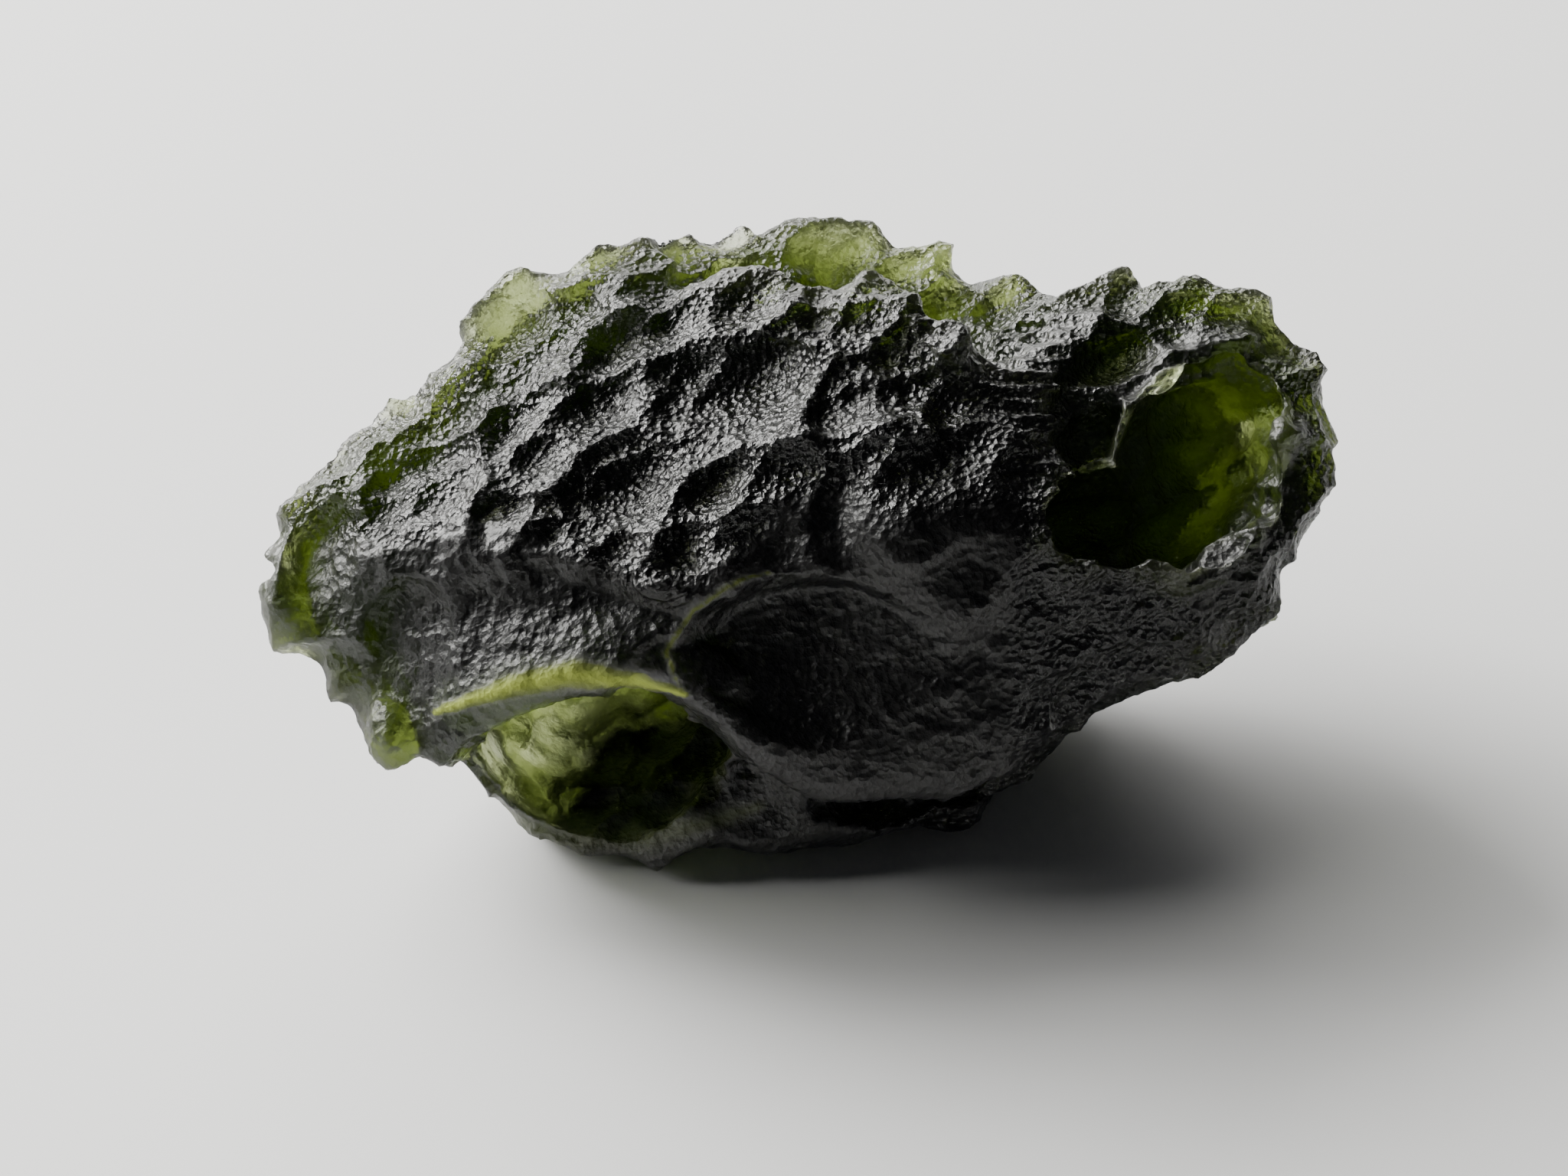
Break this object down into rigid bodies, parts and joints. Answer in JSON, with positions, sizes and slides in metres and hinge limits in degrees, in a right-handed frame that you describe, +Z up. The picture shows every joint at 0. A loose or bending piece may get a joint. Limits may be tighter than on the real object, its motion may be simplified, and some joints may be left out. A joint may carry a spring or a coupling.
{
  "type": "tektite",
  "caption": "Lump of olive green natural glass, etched all over into sharp-edged scallops, with a deep pit at one end and an arch-like hollow under its front ledge.",
  "frame": {"origin": "middle of the bounding box at its lowest face, on the surface that the lump rests on", "axes": "+X along the length, towards the end with the deep pit; -Y towards the front ledge; +Z up"},
  "size_m": [0.0356, 0.0208, 0.0169],
  "materials": {
    "tektite_glass": "satin, finely pitted, olive green, clear in thin edges and nearly black where thick"
  },
  "bodies": {
    "root": {"tektite": "tektite_glass"}
  },
  "joints": []
}
